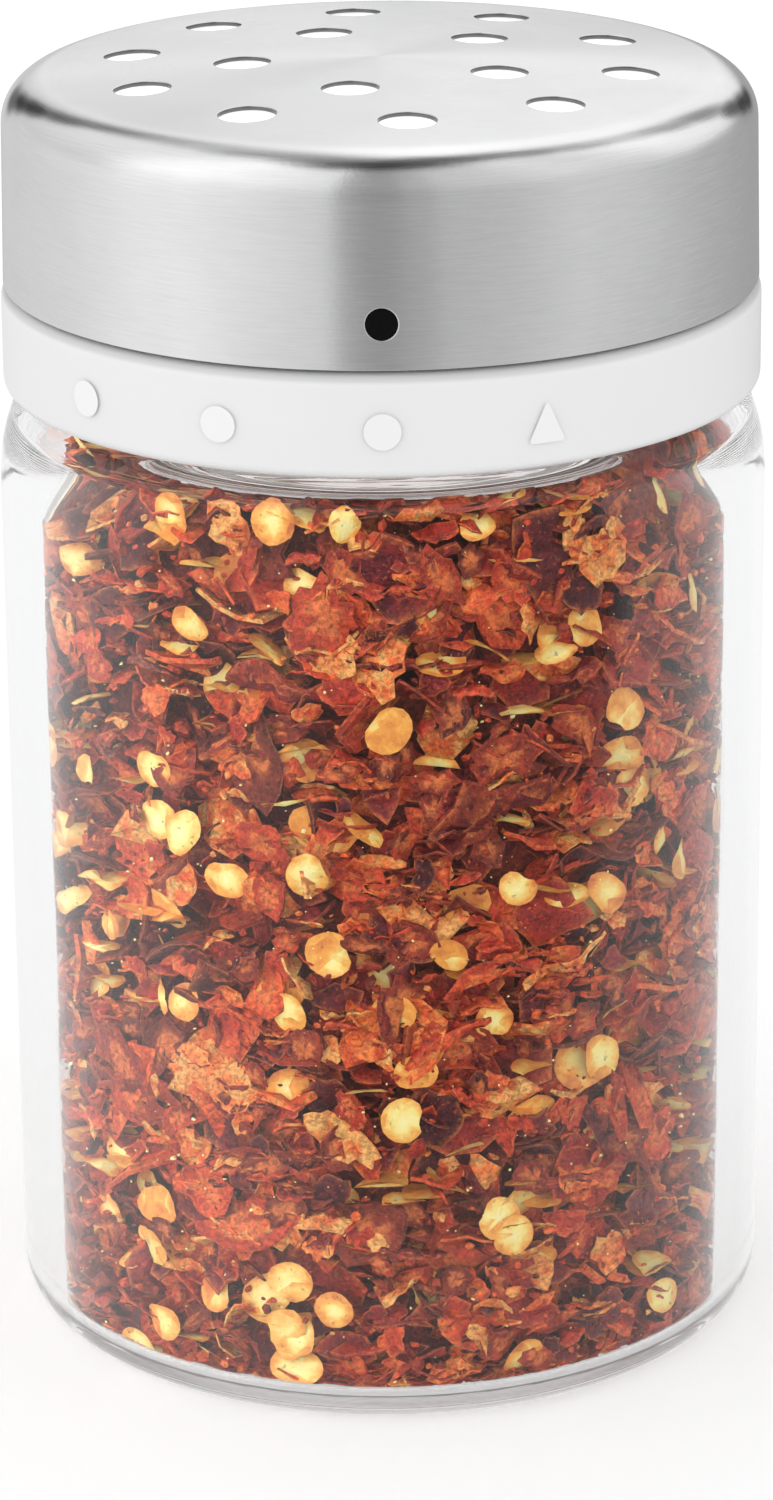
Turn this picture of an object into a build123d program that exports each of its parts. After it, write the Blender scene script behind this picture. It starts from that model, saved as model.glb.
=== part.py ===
from build123d import *
import math
import os

# Round glass spice jar with a twist shaker lid. Millimetres, +Z up, the origin at the centre of
# the foot on the table. The front of the jar, where the black dot is, faces -Y.

os.makedirs("parts", exist_ok=True)

# Clearances and overruns
overrun = 3.0              # how far a cut runs past the faces that it goes through
seat_gap = 0.05            # between faces that meet and stay together
running_gap = 0.15         # radial, between the sleeve and the liner that turns round it
thread_gap = 0.3           # radial, between the crest of each thread and the other piece
shutter_gap = 0.1          # between the plate with the holes and the steel that turns over it
hook_gap = 0.1             # around the hooks and the stop in their grooves
fill_gap = 0.15            # between the spice and the glass
rounded_edge_share = 0.995 # of an edge, at most, that the roundings at its two ends take up

# Glass body
jar_radius = 29.0
jar_wall = 2.95
body_height = 73.85        # from the table to the root of the neck
neck_height = 12.55        # from the root of the neck to the rim
neck_wall = 2.8
neck_root_round = 0.8
rim_round = 0.9
base_thickness = 1.8
base_outer_round = 3.4
base_inner_round = 1.2
push_up = 0.4              # how far the middle of the underside is raised
push_up_slope_width = 2.0
standing_ring_width = 3.6
shoulder_bend_drop = 4.15  # of the bend below the root of the neck
shoulder_edge_drop = 0.45
shoulder_edge_inset = 1.5  # how far in from the wall the top edge of the shoulder lies
shoulder_round = 13.8
shoulder_edge_round = 2.2
ceiling_drop = 2.05        # of the flat underside of the shoulder below the root of the neck
inner_bend_round = 1.3
inner_neck_round = 2.4

# Screw thread, right-handed
thread_pitch = 4.0
thread_turns = 1.3
thread_start_rise = 3.55   # above the root of the neck
thread_start_angle = 120
thread_depth = 1.1
thread_root_width = 2.0
thread_crest_width = 0.9
thread_fade_bite = 0.12    # how far the faded ends of the thread dip into the neck
ridge_turns = 1.3
ridge_root_width = 1.6
ridge_crest_width = 0.7
flank_gap = 0.25           # upright, between the thread's root and the ridge's crest

# Collar
collar_inset = 0.44        # how far its band lies inside the glass wall's radius
collar_lift = 0.23         # above the root of the neck
collar_height = 7.7
collar_lower_round = 0.8
collar_upper_round = 0.55
collar_mouth_round = 0.4
sleeve_wall = 1.17
sleeve_drop = 3.05         # of the sleeve's top below the crown
sleeve_edge_round = 0.4
shelf_thickness = 1.3
shelf_overhang = 2.4       # how far the shelf reaches in over the neck from its outer wall
sifter_seat_rise = 2.9     # above the shelf
sifter_seat_depth = 3.2
sifter_seat_width = 1.3

# Raised marks on the collar
mark_drop = 0.25           # of the marks' centres below the middle of the band
mark_relief = 0.2
mark_dot_radius = 1.22
mark_edge_round = 0.1
mark_corner_round = 0.2
triangle_width = 2.7
triangle_height = 2.9

# Steel cap
cap_inset = 0.62           # how far the skirt's lower edge lies inside the glass wall's radius
cap_lift = 0.27            # above the collar's band
cap_taper = 0.3            # how much smaller the radius is at the top
cap_sheet = 0.4
crown_radius = 302.0       # the top is slightly domed
cap_corner_round = 3.4
cap_edge_round = 0.15
hole_diameter = 4.25
outer_ring_inset = 9.46    # from the skirt's lower edge to the outer ring of holes
ring_spacing = 8.72
outer_hole_count = 10
inner_hole_count = 5

# Angles about the jar's axis, in degrees, with the front at 270
front_angle = 270
mark_pitch_angle = 24
outer_hole_offset_angle = 6
inner_hole_offset_angle = -12
few_open_angle = -mark_pitch_angle
all_open_angle = -mark_pitch_angle * 2

# Black dot in the skirt
dot_radius = 1.15
dot_gap = 0.04
dot_rise = 3.35            # of its centre above the skirt's lower edge
dot_sink = 0.03            # how far its face lies inside the steel

# Gasket on the glass rim
gasket_thickness = 1.5
gasket_edge_round = 0.3
gasket_width = 3.4

# Plate with the shutter holes
sifter_thickness = 1.4
sifter_hole_diameter = 3.2
sifter_tube_wall = 1.2
sifter_edge_round = 0.25
seal_inset = 1.25          # from the plate's edge to the soft ring
seal_width = 1.1
seal_depth = 0.8
seal_proud = 0.05          # how far the soft ring stands above the plate

# Ring inside the steel skirt
liner_wall = 0.8
liner_drop = 4.85          # of its upper edge below the crown
liner_lift = 0.6           # of its lower edge above the steel's
hook_rise = 2.85
hook_height = 1.4
hook_reach = 0.35          # how far a hook reaches into the sleeve's groove
hook_count = 4
hook_arc_angle = 36
stop_drop = 4.4            # of the stop and the click nub below the sleeve's top
stop_height = 1.4
stop_reach = 0.6
stop_arc_angle = 10
stop_play_angle = 0.5
stop_angle = 90
click_angle = 180
click_nub_radius = 0.7
click_nub_reach = 0.1
click_nub_height = 2.2
click_notch_radius = 0.9
finger_arc_angle = 40
finger_height = 2.8
finger_slot_width = 0.6

# Heights worked out from the sizes above
rim_height = body_height + neck_height
thread_start_height = body_height + thread_start_rise
gasket_bottom = rim_height + seat_gap
gasket_top = gasket_bottom + gasket_thickness
shelf_bottom = gasket_top + seat_gap
shelf_top = shelf_bottom + shelf_thickness
collar_bottom = body_height + collar_lift
collar_top = collar_bottom + collar_height
mark_height = collar_bottom + collar_height / 2 - mark_drop
sifter_seat_height = shelf_top + sifter_seat_rise
sleeve_top = sifter_seat_height + sifter_seat_depth
crown_top = sleeve_top + sleeve_drop
crown_centre_height = crown_top - crown_radius
cap_bottom = collar_top + cap_lift
cap_height = crown_top - cap_bottom
plate_drop = cap_sheet + shutter_gap
dot_height = cap_bottom + dot_rise
liner_bottom = cap_bottom + liner_lift
liner_top = crown_top - liner_drop
hook_centre_height = cap_bottom + hook_rise
stop_centre_height = sleeve_top - stop_drop

# Radii worked out from the sizes above, from the outside in
collar_radius = jar_radius - collar_inset
cap_radius = jar_radius - cap_inset
outer_ring_radius = cap_radius - outer_ring_inset
inner_ring_radius = outer_ring_radius - ring_spacing


def cap_outer_radius(height):
    """Outer radius of the tapered steel skirt at a height above the table."""
    return cap_radius - cap_taper * (height - cap_bottom) / cap_height


liner_upper_radius = cap_outer_radius(liner_top) - cap_sheet - seat_gap
liner_lower_radius = cap_outer_radius(liner_bottom) - cap_sheet - seat_gap
liner_bore = liner_upper_radius - liner_wall
sleeve_radius = liner_bore - running_gap
collar_bore = sleeve_radius - sleeve_wall
thread_crest_radius = collar_bore - thread_gap
neck_radius = thread_crest_radius - thread_depth
neck_bore = neck_radius - neck_wall
ridge_crest_radius = neck_radius + thread_gap
jar_bore = jar_radius - jar_wall
gasket_radius = collar_bore - thread_gap
shelf_inner_radius = neck_radius - shelf_overhang
sifter_bore = collar_bore - thread_gap
sifter_radius = sifter_bore - seat_gap
seal_outer_radius = sifter_radius - seal_inset


def edge_reach(before, corner, after):
    """Length of edge that a rounding of one millimetre takes up on each side of a corner."""
    first = math.atan2(corner[1] - before[1], corner[0] - before[0])
    second = math.atan2(after[1] - corner[1], after[0] - corner[0])
    return abs(math.tan(math.remainder(second - first, math.tau) / 2))


def fitted_roundings(points, roundings):
    """The roundings of an outline, drawn back where an edge is too short for those at its ends."""
    count = len(points)
    reaches = []
    for index in range(count):
        reach = edge_reach(points[index - 1], points[index], points[(index + 1) % count])
        reaches.append(reach * roundings[index])
    fits = [1] * count
    for index in range(count):
        wanted = reaches[index - 1] + reaches[index]
        room = math.dist(points[index - 1], points[index]) * rounded_edge_share
        if wanted > room:
            fits[index - 1] = min(fits[index - 1], room / wanted)
            fits[index] = min(fits[index], room / wanted)
    return [rounding * fit for rounding, fit in zip(roundings, fits)]


def lathe(corners):
    """Turn an outline about the jar's axis. Each corner is a radius, a height and a rounding."""
    points = [(radius, height) for radius, height, rounding in corners]
    roundings = fitted_roundings(points, [rounding for radius, height, rounding in corners])
    outline = make_face(FilletPolyline(*points, radius=roundings, close=True))
    return revolve(Plane.XZ * outline, Axis.Z)


def ring(inner_radius, outer_radius, bottom, top):
    """A plain ring about the jar's axis, or a disc where the inner radius is zero."""
    height = top - bottom
    solid = Pos(0, 0, bottom) * Cylinder(outer_radius, height, align=(Align.CENTER, Align.CENTER, Align.MIN))
    if inner_radius > 0:
        bore = Pos(0, 0, bottom - overrun) * Cylinder(
            inner_radius, height + overrun * 2, align=(Align.CENTER, Align.CENTER, Align.MIN)
        )
        solid = solid - bore
    return solid


def ring_arc(inner_radius, outer_radius, bottom, top, centre_angle, arc_angle):
    """A piece of a ring, as wide as the arc angle and centred on an angle about the axis."""
    reach = outer_radius * 2
    half = math.radians(arc_angle / 2)
    wedge_points = [(0, 0), (reach * math.cos(half), -reach * math.sin(half)), (reach, 0)]
    wedge_points.append((reach * math.cos(half), reach * math.sin(half)))
    wedge_face = Pos(0, 0, bottom) * Rot(0, 0, centre_angle) * make_face(Polyline(*wedge_points, close=True))
    wedge = extrude(wedge_face, top - bottom)
    return ring(inner_radius, outer_radius, bottom, top) & wedge


def level_rounds(solid):
    """The level round edges of a turned solid, from the lowest to the highest."""
    rounds = solid.edges().filter_by(GeomType.CIRCLE)
    return rounds.filter_by(lambda edge: edge.radius <= cap_radius).sort_by(Axis.Z)


def upright_round(radius, bottom, top, ring_radius, angle):
    """An upright round bar that stands at a radius and an angle from the axis."""
    bar = Cylinder(radius, top - bottom, align=(Align.CENTER, Align.CENTER, Align.MIN))
    turn = math.radians(angle)
    return Pos(ring_radius * math.cos(turn), ring_radius * math.sin(turn), bottom) * bar


def helical_ridge(root_radius, crest_radius, root_width, crest_width, start_height, turns):
    """A right-handed ridge along a helix, which reaches a little way into the wall that carries it."""
    depth = crest_radius - root_radius
    bite = math.copysign(thread_gap, depth)
    path = Helix(thread_pitch, thread_pitch * turns, radius=root_radius, center=(0, 0, start_height))
    plane = Plane(origin=path @ 0, x_dir=(1, 0, 0), z_dir=path % 0)
    foot_width = root_width + (root_width - crest_width) * bite / depth
    corners = [(-bite, -foot_width / 2), (depth, -crest_width / 2)]
    corners += [(depth, crest_width / 2), (-bite, foot_width / 2)]
    section = plane * make_face(Polyline(*corners, close=True))
    return Rot(0, 0, thread_start_angle) * sweep(section, path=path, is_frenet=True)


def thread_fade(height, angle):
    """A block that pares the end of the glass thread down into the neck."""
    inner = neck_radius - thread_fade_bite
    chord = 2 * math.sqrt(thread_crest_radius**2 - inner**2)
    block = Box(thread_depth + overrun, chord, thread_pitch, align=(Align.MIN, Align.CENTER, Align.CENTER))
    return Rot(0, 0, angle) * (Pos(inner, 0, height) * block)


def domed_ring(inner_radius, outer_radius, upper_drop, lower_drop):
    """A ring between two domes that lie under the crown of the cap by the drops given."""
    blank = ring(inner_radius, outer_radius, cap_bottom, crown_top)
    centre = Pos(0, 0, crown_centre_height)
    upper = centre * Sphere(crown_radius - upper_drop)
    lower = centre * Sphere(crown_radius - lower_drop)
    return (blank & upper) - lower


def cap_form(inset, bottom):
    """The tapered, domed and rounded form of the cap, drawn in by an inset."""
    blank = Cone(
        cap_radius - inset,
        cap_radius - cap_taper - inset,
        cap_height,
        align=(Align.CENTER, Align.CENTER, Align.MIN),
    )
    dome = Pos(0, 0, crown_centre_height) * Sphere(crown_radius - inset)
    form = (Pos(0, 0, cap_bottom) * blank) & dome
    form = fillet(level_rounds(form)[-1], cap_corner_round - inset)
    if bottom < cap_bottom:
        form = form + ring(0, cap_radius - inset, bottom, cap_bottom)
    return form


def hole_bars(diameter, ring_radius, count, first_angle):
    """Upright bars that cut one ring of evenly spaced holes."""
    bars = []
    for index in range(count):
        angle = first_angle + index * 360 / count
        bars.append(upright_round(diameter / 2, cap_bottom, crown_top + overrun, ring_radius, angle))
    return bars


def make_glass_jar():
    ring_outer = jar_radius - base_outer_round
    ring_inner = ring_outer - standing_ring_width
    corners = [
        (0, push_up, 0),
        (ring_inner - push_up_slope_width, push_up, 0),
        (ring_inner, 0, 0),
        (jar_radius, 0, base_outer_round),
        (jar_radius, body_height - shoulder_bend_drop, shoulder_round),
        (jar_radius - shoulder_edge_inset, body_height - shoulder_edge_drop, shoulder_edge_round),
        (neck_radius, body_height, neck_root_round),
        (neck_radius, rim_height, rim_round),
        (neck_bore, rim_height, rim_round),
        (neck_bore, body_height - ceiling_drop, inner_neck_round),
        (jar_bore, body_height - ceiling_drop, inner_bend_round),
        (jar_bore, base_thickness, base_inner_round),
        (0, base_thickness, 0),
    ]
    body = lathe(corners)
    thread = helical_ridge(
        neck_radius, thread_crest_radius, thread_root_width, thread_crest_width, thread_start_height, thread_turns
    )
    thread_end_height = thread_start_height + thread_pitch * thread_turns
    thread_end_angle = thread_start_angle + 360 * thread_turns
    thread = thread - thread_fade(thread_start_height, thread_start_angle)
    thread = thread - thread_fade(thread_end_height, thread_end_angle)
    return body + thread


def make_chilli_flakes():
    radius = jar_bore - fill_gap
    bottom = base_thickness + fill_gap
    top = body_height - ceiling_drop - fill_gap
    corners = [
        (0, bottom, 0),
        (radius, bottom, base_inner_round - fill_gap),
        (radius, top, inner_bend_round - fill_gap),
        (0, top, 0),
    ]
    return lathe(corners)


def make_jar_gasket():
    inner = gasket_radius - gasket_width
    corners = [
        (inner, gasket_bottom, gasket_edge_round),
        (gasket_radius, gasket_bottom, gasket_edge_round),
        (gasket_radius, gasket_top, gasket_edge_round),
        (inner, gasket_top, gasket_edge_round),
    ]
    return lathe(corners)


def raised_dot(angle):
    """A round mark, raised on the collar's band."""
    reach = collar_radius + overrun
    disc = Cylinder(mark_dot_radius, reach, align=(Align.CENTER, Align.CENTER, Align.MIN))
    return Pos(0, 0, mark_height) * Rot(0, 0, angle) * Rot(0, 90, 0) * disc


def raised_triangle(angle):
    """A triangular mark with its point up, raised on the collar's band."""
    half = triangle_width / 2
    foot = -triangle_height / 2
    corners = [(-half, foot), (half, foot), (0, -foot)]
    outline = make_face(FilletPolyline(*corners, radius=mark_corner_round, close=True))
    prism = extrude(Plane.YZ * outline, collar_radius + overrun)
    return Pos(0, 0, mark_height) * Rot(0, 0, angle) * prism


def make_marks():
    """Three dots and a triangle, each as a shallow piece with a soft outer edge."""
    outer = collar_radius + mark_relief
    skin = ring(collar_radius - mark_relief, outer, collar_bottom, collar_top)
    shapes = [(raised_dot, front_angle - mark_pitch_angle * step) for step in range(3)]
    shapes.append((raised_triangle, front_angle + mark_pitch_angle))
    marks = []
    for shape, angle in shapes:
        mark = (skin & shape(angle)).solid()
        turn = math.radians(angle)
        centre = Vector(outer * math.cos(turn), outer * math.sin(turn), mark_height)
        face = mark.faces().sort_by_distance(centre)[0]
        marks.append(fillet(face.outer_wire().edges(), mark_edge_round))
    return marks


def make_threaded_collar():
    seat_inner = sifter_bore - sifter_seat_width
    corners = [
        (collar_bore, collar_bottom, collar_mouth_round),
        (collar_radius, collar_bottom, collar_lower_round),
        (collar_radius, collar_top, collar_upper_round),
        (sleeve_radius, collar_top, 0),
        (sleeve_radius, sleeve_top, sleeve_edge_round),
        (sifter_bore, sleeve_top, 0),
        (sifter_bore, sifter_seat_height, 0),
        (seat_inner, sifter_seat_height, 0),
        (seat_inner, shelf_top, 0),
        (shelf_inner_radius, shelf_top, 0),
        (shelf_inner_radius, shelf_bottom, 0),
        (collar_bore, shelf_bottom, 0),
    ]
    collar = lathe(corners)
    ridge_start = thread_start_height - (thread_root_width + ridge_crest_width) / 2 - flank_gap
    collar = collar + helical_ridge(
        collar_bore, ridge_crest_radius, ridge_root_width, ridge_crest_width, ridge_start, ridge_turns
    )
    for mark in make_marks():
        collar = collar + mark

    groove_half = hook_height / 2 + hook_gap * 2
    groove_inner = sleeve_radius - hook_reach - hook_gap
    groove_outer = sleeve_radius + running_gap
    collar = collar - ring(
        groove_inner, groove_outer, hook_centre_height - groove_half, hook_centre_height + groove_half
    )

    slot_arc = stop_arc_angle + stop_play_angle * 2 - all_open_angle
    slot_centre = stop_angle + all_open_angle / 2
    slot_half = stop_height / 2 + hook_gap
    collar = collar - ring_arc(
        sleeve_radius - stop_reach - hook_gap,
        sleeve_radius + running_gap,
        stop_centre_height - slot_half,
        stop_centre_height + slot_half,
        slot_centre,
        slot_arc,
    )

    notch_half = click_nub_height / 2 + hook_gap
    notch_bottom = stop_centre_height - notch_half
    notch_top = stop_centre_height + notch_half
    for step in range(3):
        angle = click_angle + few_open_angle * step
        collar = collar - upright_round(click_notch_radius, notch_bottom, notch_top, sleeve_radius, angle)
    return collar


def make_sifter_plate():
    plate = domed_ring(0, sifter_radius, plate_drop, plate_drop + sifter_thickness)
    plate = fillet(level_rounds(plate)[-1], sifter_edge_round)
    tube_top = crown_top - plate_drop - sifter_thickness
    tube = ring(sifter_radius - sifter_tube_wall, sifter_radius, sifter_seat_height + seat_gap, tube_top)
    dome = Pos(0, 0, crown_centre_height) * Sphere(crown_radius - plate_drop - sifter_thickness / 2)
    plate = plate + (tube & dome)
    plate = plate - domed_ring(seal_outer_radius - seal_width, seal_outer_radius, 0, plate_drop + seal_depth)
    outer_angle = front_angle + outer_hole_offset_angle + all_open_angle
    bars = hole_bars(sifter_hole_diameter, outer_ring_radius, outer_hole_count, outer_angle)
    for opening_angle in (few_open_angle, all_open_angle):
        inner_angle = front_angle + inner_hole_offset_angle + opening_angle
        bars += hole_bars(sifter_hole_diameter, inner_ring_radius, inner_hole_count, inner_angle)
    return plate - bars


def make_face_seal():
    inner = seal_outer_radius - seal_width + seat_gap
    outer = seal_outer_radius - seat_gap
    return domed_ring(inner, outer, plate_drop - seal_proud, plate_drop + seal_depth - seat_gap)


def make_steel_cap():
    shell = cap_form(0, cap_bottom) - cap_form(cap_sheet, cap_bottom - overrun)
    shell = fillet(level_rounds(shell)[:2], cap_edge_round)
    outer_angle = front_angle + outer_hole_offset_angle
    inner_angle = front_angle + inner_hole_offset_angle
    bars = hole_bars(hole_diameter, outer_ring_radius, outer_hole_count, outer_angle)
    bars += hole_bars(hole_diameter, inner_ring_radius, inner_hole_count, inner_angle)
    return shell - bars - dot_bar(dot_radius)


def dot_bar(radius):
    """A bar that lies along the front radius, at the height of the black dot."""
    bar = Cylinder(radius, cap_radius + overrun, align=(Align.CENTER, Align.CENTER, Align.MIN))
    return Pos(0, 0, dot_height) * Rot(0, 0, front_angle) * Rot(0, 90, 0) * bar


def make_indicator_dot():
    bottom = dot_height - dot_radius * 2
    top = dot_height + dot_radius * 2
    shell = ring(liner_bore, cap_outer_radius(dot_height) - dot_sink, bottom, top)
    pin = shell & dot_bar(dot_radius - dot_gap)
    return pin.solids().sort_by(Axis.Y)[0]


def make_cap_liner():
    corners = [
        (liner_bore, liner_bottom, 0),
        (liner_lower_radius, liner_bottom, 0),
        (liner_upper_radius, liner_top, 0),
        (liner_bore, liner_top, 0),
    ]
    liner = lathe(corners)
    bite_radius = liner_bore + liner_wall / 2

    hook_low = hook_centre_height - hook_height / 2
    hook_high = hook_centre_height + hook_height / 2
    for index in range(hook_count):
        angle = front_angle + (index + 1 / 2) * 360 / hook_count
        hook_inner = sleeve_radius - hook_reach
        liner = liner + ring_arc(hook_inner, bite_radius, hook_low, hook_high, angle, hook_arc_angle)

    stop_low = stop_centre_height - stop_height / 2
    stop_high = stop_centre_height + stop_height / 2
    stop_inner = sleeve_radius - stop_reach
    liner = liner + ring_arc(stop_inner, bite_radius, stop_low, stop_high, stop_angle, stop_arc_angle)

    nub_ring = liner_bore + click_nub_radius - click_nub_reach
    nub_low = stop_centre_height - click_nub_height / 2
    nub_high = stop_centre_height + click_nub_height / 2
    nub = upright_round(click_nub_radius, nub_low, nub_high, nub_ring, click_angle)
    liner = liner + (nub & ring(0, bite_radius, nub_low, nub_high))
    for side in (-1, 1):
        slot_middle = stop_centre_height + side * (finger_height + finger_slot_width) / 2
        slot_low = slot_middle - finger_slot_width / 2
        slot_high = slot_middle + finger_slot_width / 2
        slot = ring_arc(sleeve_radius, cap_radius, slot_low, slot_high, click_angle, finger_arc_angle)
        liner = liner - slot
    return liner - dot_bar(dot_radius)


def print_shutter_margins():
    """Print how far the plate's holes stay covered by the steel when the lid is closed."""
    reach = (hole_diameter + sifter_hole_diameter) / 2
    outer_pitch_angle = 360 / outer_hole_count
    outer_offset = min(all_open_angle % outer_pitch_angle, -all_open_angle % outer_pitch_angle)
    outer_chord = outer_ring_radius * 2 * math.sin(math.radians(outer_offset) / 2)
    inner_chord = inner_ring_radius * 2 * math.sin(math.radians(mark_pitch_angle) / 2)
    print("cover beyond the plate's holes, outer and inner ring:", outer_chord - reach, inner_chord - reach)


makers = {
    "glass_jar": make_glass_jar,
    "chilli_flakes": make_chilli_flakes,
    "jar_gasket": make_jar_gasket,
    "threaded_collar": make_threaded_collar,
    "sifter_plate": make_sifter_plate,
    "face_seal": make_face_seal,
    "steel_cap": make_steel_cap,
    "indicator_dot": make_indicator_dot,
    "cap_liner": make_cap_liner,
}

print_shutter_margins()
for node, maker in makers.items():
    export_step(maker(), f"parts/{node}.step")
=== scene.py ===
import math
import random

import bmesh
import bpy
import numpy as np
from mathutils import Matrix, Vector, noise


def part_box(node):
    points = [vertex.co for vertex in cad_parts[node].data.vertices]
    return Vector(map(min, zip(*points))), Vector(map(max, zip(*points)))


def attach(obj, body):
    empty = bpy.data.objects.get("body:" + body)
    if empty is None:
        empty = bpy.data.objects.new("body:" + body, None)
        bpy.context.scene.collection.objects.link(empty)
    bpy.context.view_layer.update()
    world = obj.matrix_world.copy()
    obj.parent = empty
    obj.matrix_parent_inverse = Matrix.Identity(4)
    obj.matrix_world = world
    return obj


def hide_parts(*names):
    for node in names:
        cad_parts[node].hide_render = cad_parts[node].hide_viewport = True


# A glass spice jar full of chilli flakes, with a white collar and a brushed steel shaker cap.
# Metres, +Z up. The front of the jar, where the black dot is, faces -Y.

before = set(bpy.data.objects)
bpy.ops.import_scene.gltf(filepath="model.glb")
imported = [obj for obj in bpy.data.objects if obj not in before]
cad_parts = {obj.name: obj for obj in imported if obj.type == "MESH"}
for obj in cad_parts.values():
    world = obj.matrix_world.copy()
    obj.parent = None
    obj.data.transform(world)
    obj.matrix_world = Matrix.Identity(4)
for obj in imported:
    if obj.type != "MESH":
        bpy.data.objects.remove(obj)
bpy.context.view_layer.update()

# Sizes that come from the frame
glass_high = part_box("glass_jar")[1]
collar_low, collar_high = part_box("threaded_collar")
cap_low, cap_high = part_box("steel_cap")
dot_low, dot_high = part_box("indicator_dot")
jar_radius = glass_high.x
rim_height = glass_high.z
collar_radius = collar_high.x
collar_bottom = collar_low.z
sleeve_top = collar_high.z
cap_radius = cap_high.x
cap_bottom = cap_low.z
crown_top = cap_high.z
dot_height = (dot_low.z + dot_high.z) / 2

# Glass body
neck_height = 0.01255
body_height = rim_height - neck_height
neck_radius = 0.0242
neck_bore = 0.0214
jar_bore = 0.02605
base_thickness = 0.0018
push_up = 0.0004
standing_ring_inner = 0.022
ceiling_height = body_height - 0.00205
base_outer_round = 0.0034
shoulder_height = body_height - 0.00415
shoulder_round = 0.0138
shoulder_edge_radius = jar_radius - 0.0015
shoulder_edge_height = body_height - 0.00045
shoulder_edge_round = 0.0022
neck_root_round = 0.0008
rim_round = 0.0009
inner_bend_round = 0.0013
inner_neck_round = 0.0024
base_inner_round = 0.0012
thread_pitch = 0.004
thread_turns = 1.3
thread_start_angle = math.radians(120)
thread_start_height = body_height + 0.00355
thread_depth = 0.0011
thread_root_width = 0.002
thread_crest_width = 0.0009
thread_row = 0.00025

# Chilli flakes
fill_gap = 0.00015
core_low = base_thickness + 0.0008
core_high = ceiling_height - 0.0012
core_radius = jar_bore - 0.0035
pile_side = math.radians(188)
pile_width = 0.56
pile_depth = 0.0085

# Collar
collar_top = collar_bottom + 0.0077
collar_foot_round = 0.0008
collar_top_round = 0.001
# Painted shade on the collar's rounded edge under the steel: how deep it reaches and how grey it goes
painted_shade_depth = 0.0008
painted_shade_grey = 0.8
collar_bore = 0.0256
sleeve_radius = 0.02677
sifter_bore = 0.0253
sifter_seat_height = sleeve_top - 0.0032
seat_inner = 0.024
shelf_bottom = rim_height + 0.0016
shelf_top = shelf_bottom + 0.0013
shelf_inner_radius = 0.0218
hook_groove_low = cap_bottom + 0.00195
hook_groove_high = cap_bottom + 0.00375
hook_groove_radius = sleeve_radius - 0.00045
ridge_start_height = thread_start_height - 0.0016
ridge_root_width = 0.0016
ridge_crest_width = 0.0007

# Raised marks
mark_height = collar_bottom + 0.0036
mark_pitch = math.radians(24)
mark_relief = 0.0002
mark_foot = 0.00012
mark_dot_radius = 0.00122
triangle_width = 0.0027
triangle_height = 0.0029
triangle_corner = 0.0002

# Steel cap
cap_taper = 0.0003
cap_sheet = 0.0004
cap_corner_round = 0.0034
crown_radius = 0.302
crown_centre = crown_top - crown_radius
hole_radius = 0.002125
outer_ring_radius = 0.01892
inner_ring_radius = 0.0102
outer_hole_count = 10
inner_hole_count = 5
first_outer_angle = math.radians(276)
first_inner_angle = math.radians(258)
front_angle = math.radians(270)
dot_hole_radius = 0.00115
dot_window = 0.0019
crown_line = 0.0025
edge_round = 0.00006
dot_edge_round = 0.00011

# Camera, fitted to the photograph; the last four are in its pixels
camera_place = (0, -0.396159, 0.183989)
camera_pitch = math.radians(18.687)
camera_roll = math.radians(-0.531)
sensor_width = 36
photo_height = 1500
focal_length = 5426.93
photo_middle = (386.5, 750)
optical_axis = (384.766, 674.134)

# Source of every random number
chance = random.Random(11)

# Mesh fineness
around = 192
arc_step = math.radians(7)
hole_corners = 36
weld = 1e-6


def rounded(corners):
    """Points (radius, height) of an outline whose corners (radius, height, rounding) are arcs."""
    points = []
    count = len(corners)
    for index, (radius, height, rounding) in enumerate(corners):
        corner = Vector((radius, height))
        if rounding == 0:
            points.append(corner)
            continue
        before = (Vector(corners[index - 1][:2]) - corner).normalized()
        after = (Vector(corners[(index + 1) % count][:2]) - corner).normalized()
        half = before.angle(after) / 2
        centre = corner + (before + after).normalized() * rounding / math.sin(half)
        start = corner + before * rounding / math.tan(half) - centre
        end = corner + after * rounding / math.tan(half) - centre
        first = math.atan2(start.y, start.x)
        sweep = math.remainder(math.atan2(end.y, end.x) - first, math.tau)
        steps = max(2, math.ceil(abs(sweep) / arc_step))
        for step in range(steps + 1):
            angle = first + sweep * step / steps
            points.append(centre + rounding * Vector((math.cos(angle), math.sin(angle))))
    return points


def turned(outline, closed=True):
    """A shape turned about the jar's axis from an outline of points (radius, height)."""
    shape = bmesh.new()
    verts = [shape.verts.new((point.x, 0, point.y)) for point in outline]
    edges = [shape.edges.new(pair) for pair in zip(verts, verts[1:])]
    if closed and outline[0].x > weld:
        edges.append(shape.edges.new((verts[-1], verts[0])))
    axis = {"axis": (0, 0, 1), "cent": (0, 0, 0)}
    bmesh.ops.spin(shape, geom=verts + edges, **axis, angle=math.tau, steps=around, use_merge=True)
    bmesh.ops.remove_doubles(shape, verts=shape.verts, dist=weld)
    bmesh.ops.dissolve_degenerate(shape, edges=shape.edges, dist=weld)
    bmesh.ops.recalc_face_normals(shape, faces=shape.faces)
    return shape


def radius_of(place):
    return math.hypot(place.x, place.y)


def polar(radius, angle, height):
    """A place by its distance from the axis, its angle round it and its height."""
    return Vector((radius * math.cos(angle), radius * math.sin(angle), height))


def raise_ridge(shape, root_radius, depth, start_height, root_width, crest_width):
    """Push the verts of a turned wall in or out along a right-handed helix, faded at both ends."""
    fade_turns = 0.05
    flank = (root_width - crest_width) / 2
    for vert in shape.verts:
        if abs(radius_of(vert.co) - root_radius) > weld:
            continue
        angle = math.atan2(vert.co.y, vert.co.x) - thread_start_angle
        turn = (angle / math.tau) % 1
        height = 0
        while turn <= thread_turns:
            off = abs(vert.co.z - start_height - thread_pitch * turn)
            rise = min(max((root_width / 2 - off) / flank, 0), 1)
            fade = min(turn, thread_turns - turn) / fade_turns
            height = max(height, rise * min(fade, 1))
            turn += 1
        grown = (root_radius + depth * height) / root_radius
        vert.co.x *= grown
        vert.co.y *= grown


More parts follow.
